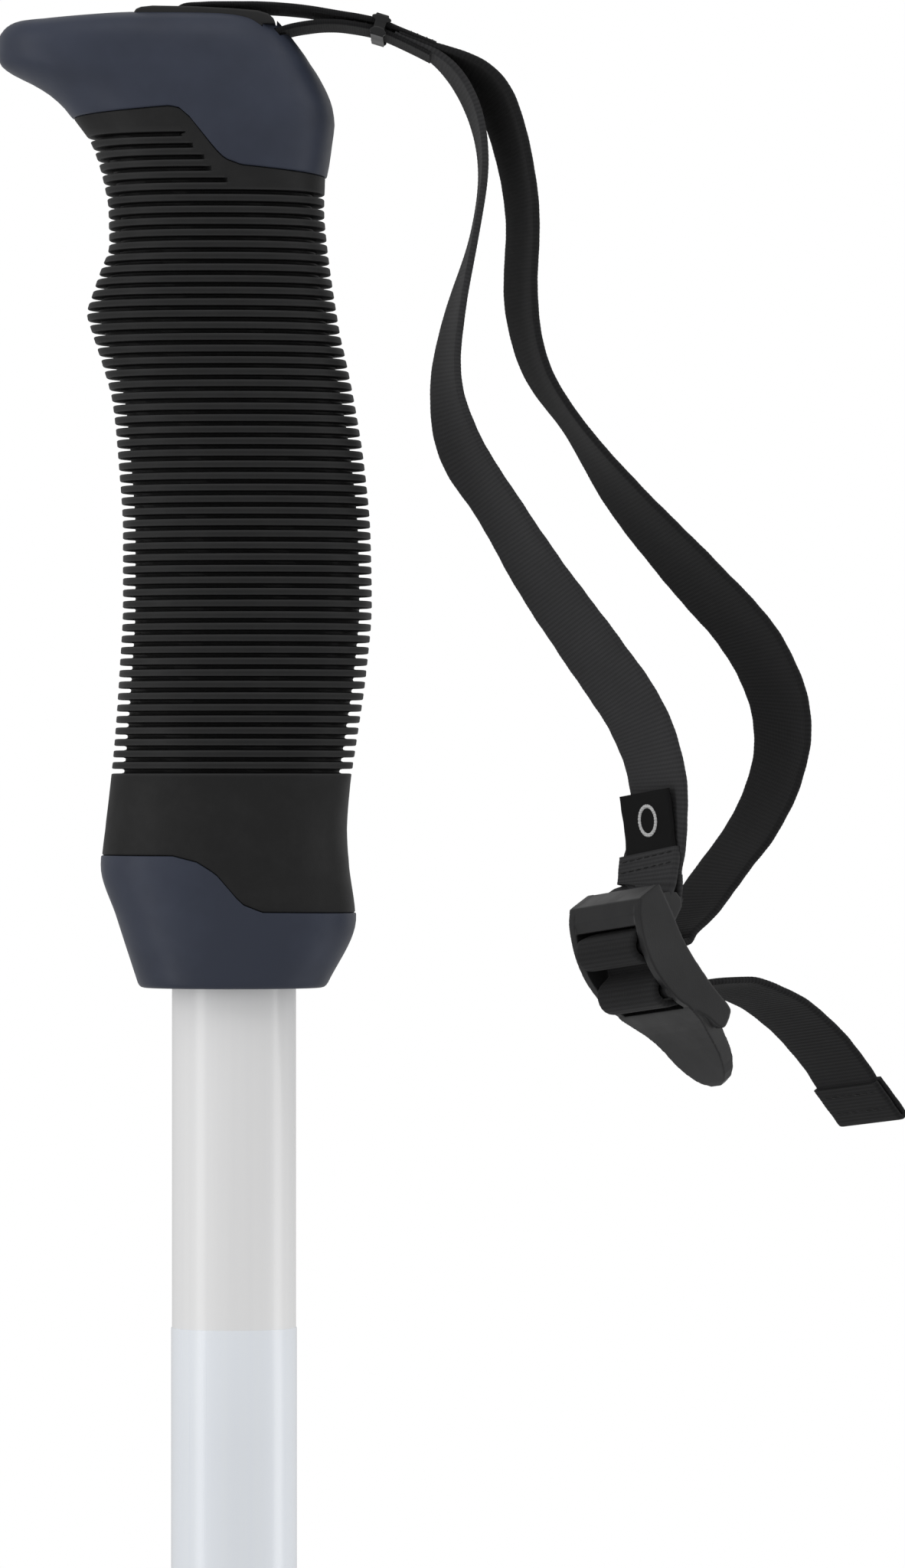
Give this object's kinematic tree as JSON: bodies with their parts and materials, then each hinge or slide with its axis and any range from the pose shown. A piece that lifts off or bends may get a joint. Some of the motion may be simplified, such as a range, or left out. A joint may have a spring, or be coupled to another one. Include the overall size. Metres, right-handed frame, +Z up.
{
  "type": "ski pole",
  "caption": "Alpine ski pole with a tapered tube shaft, ribbed grip with a hard nosed cap, adjustable wrist strap, turning basket and steel tip.",
  "frame": {"origin": "on the shaft's axis at the middle of the grip, where the hand closes", "axes": "+Z up the shaft to the cap, +X to the side the strap hangs on, Y across the grip"},
  "size_m": [0.1322, 0.06, 1.1015],
  "materials": {
    "shaft_paint": "satin light grey coat",
    "film": "smooth lavender film",
    "core_plastic": "moulded",
    "grip_rubber": "matt ribbed rubber",
    "navy_plastic": "satin moulded",
    "insert_plastic": "satin moulded",
    "steel": "plain",
    "webbing": "ribbed woven polyester",
    "webbing_light": "ribbed woven polyester",
    "thread": "sewing thread",
    "label": "woven satin label",
    "buckle_plastic": "satin acetal",
    "tip_plastic": "satin nylon"
  },
  "bodies": {
    "pole": {"shaft": "shaft_paint", "shaft_film": "film", "shaft_plug": "core_plastic", "grip_core": "core_plastic", "grip_sleeve": "grip_rubber", "grip_cap": "navy_plastic", "grip_collar": "navy_plastic", "strap_insert": "insert_plastic", "insert_screw": "steel", "anchor_pin": "steel", "tether_anchor": "webbing", "tip_ferrule": "tip_plastic", "tip_spike": "steel", "basket_clip": "steel"},
    "strap": {"tether_strap": "webbing", "loop_strap_back": "webbing", "loop_strap_front": "webbing_light", "loop_stitching": "thread", "strap_label": "label"},
    "keeper": {"strap_keeper": "buckle_plastic"},
    "buckle": {"buckle_frame": "buckle_plastic", "strap_bridge": "webbing", "strap_tail": "webbing", "tail_tab": "webbing"},
    "basket": {"basket": "tip_plastic"}
  },
  "joints": [
    {"name": "strap_swing", "type": "hinge", "parent": "pole", "child": "strap", "pos_m": [0.0135, 0, 0.0741], "axis": [0, -1, 0], "range_deg": [-8, 60], "deforming": ["tether_strap"]},
    {"name": "keeper_slide", "type": "slide", "parent": "strap", "child": "keeper", "axis": [-0.9842, 0, 0.177], "range_m": [0, 0.006]},
    {"name": "buckle_tilt", "type": "hinge", "parent": "strap", "child": "buckle", "pos_m": [0.05915, 0.00085, -0.05487], "axis": [0.5417, -0.8341, 0.1045], "range_deg": [-6, 25], "deforming": ["strap_bridge"]},
    {"name": "basket_spin", "type": "hinge", "parent": "pole", "child": "basket", "pos_m": [0, 0, -0.959], "axis": [0, 0, 1], "continuous": true}
  ]
}
